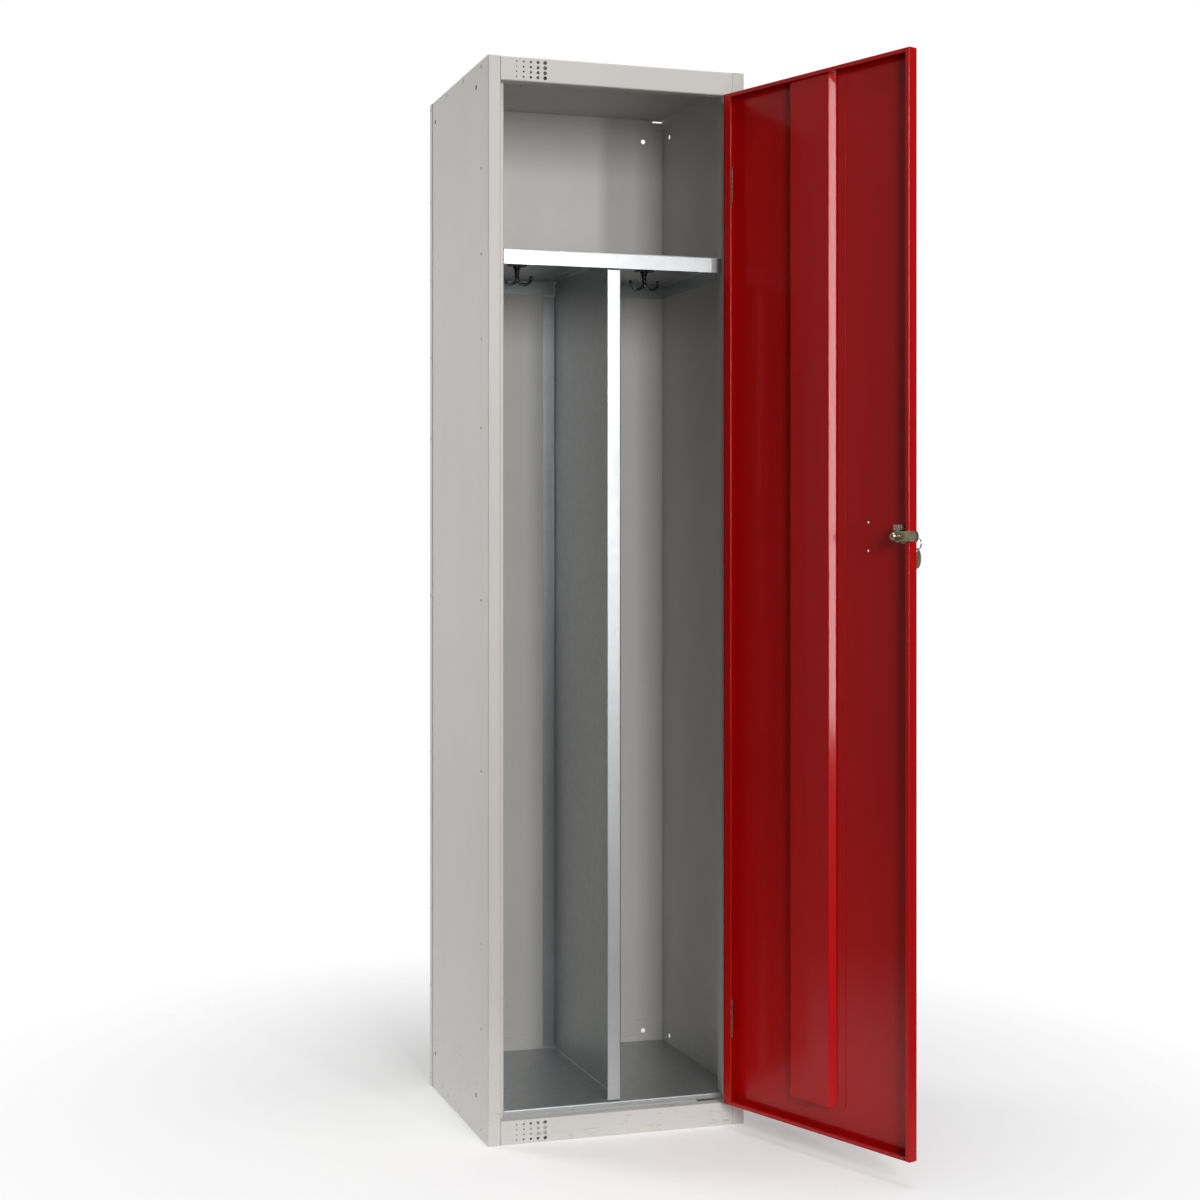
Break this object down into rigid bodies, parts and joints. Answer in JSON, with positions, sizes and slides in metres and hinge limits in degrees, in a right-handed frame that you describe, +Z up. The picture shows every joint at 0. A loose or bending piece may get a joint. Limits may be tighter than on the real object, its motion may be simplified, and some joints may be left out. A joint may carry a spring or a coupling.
{
  "type": "school locker",
  "caption": "Tall single-door steel locker standing with its door open, with a hat shelf above two hanging compartments split by a divider, double coat hooks, and a key cam lock.",
  "frame": {"origin": "centre of the footprint on the floor", "axes": "+Z up, -Y is the front with the door, +X is the hinge side"},
  "size_m": [0.6048, 0.8054, 1.8011],
  "materials": {
    "light_grey_powder_coat": "fine textured satin powder coat",
    "galvanised": "hot-dip galvanised, soft spangle",
    "red_powder_coat": "semi-gloss powder coat",
    "plain_steel": "unpainted, slightly dull",
    "black_enamel": "satin black enamel",
    "zinc_passivated": "olive-yellow zinc passivation",
    "nickel": "nickel plate",
    "tag": "matt, blank"
  },
  "bodies": {
    "carcass": {"left_side_panel": "light_grey_powder_coat", "right_side_panel": "light_grey_powder_coat", "back_panel": "light_grey_powder_coat", "roof_panel": "light_grey_powder_coat", "base_tray": "light_grey_powder_coat", "floor_panel": "galvanised", "hat_shelf": "galvanised", "centre_divider": "galvanised", "coat_hook_left": "black_enamel", "coat_hook_right": "black_enamel", "hook_screws": "plain_steel", "left_side_rivets": "light_grey_powder_coat", "right_side_rivets": "light_grey_powder_coat", "back_rivets": "light_grey_powder_coat", "roof_rivets": "light_grey_powder_coat", "shelf_rivets": "galvanised", "divider_fixings": "galvanised", "upper_frame_leaf": "plain_steel", "lower_frame_leaf": "plain_steel", "upper_hinge_pin": "plain_steel", "lower_hinge_pin": "plain_steel"},
    "door": {"upper_door_leaf": "plain_steel", "lower_door_leaf": "plain_steel", "upper_hinge_backing": "plain_steel", "lower_hinge_backing": "plain_steel", "door_panel": "red_powder_coat", "door_stiffener": "red_powder_coat", "lock_housing": "nickel", "lock_nut": "zinc_passivated", "lock_case": "zinc_passivated", "lock_case_screw": "nickel"},
    "lock_core": {"lock_plug": "nickel", "lock_cam": "zinc_passivated", "cam_collar": "zinc_passivated", "cam_nut": "zinc_passivated"},
    "key": {"key": "nickel"},
    "key_fob": {"key_ring": "nickel", "key_tag": "tag"}
  },
  "joints": [
    {"name": "door_hinge", "type": "hinge", "parent": "carcass", "child": "door", "pos_m": [0.2045, -0.199, 0.9], "axis": [0, 0, 1], "range_deg": [-111.5, 53.5]},
    {"name": "lock_turn", "type": "hinge", "parent": "door", "child": "lock_core", "pos_m": [0.3428, -0.561, 1.005], "axis": [0.9304, 0.3665, 0], "range_deg": [0, 90]},
    {"name": "key_pull", "type": "slide", "parent": "lock_core", "child": "key", "axis": [0.9304, 0.3665, 0], "range_m": [0, 0.03]},
    {"name": "key_fob_swing", "type": "hinge", "parent": "key", "child": "key_fob", "pos_m": [0.36513, -0.55221, 1.0035], "axis": [-0.3665, 0.9304, 0], "range_deg": [-60, 12]}
  ]
}
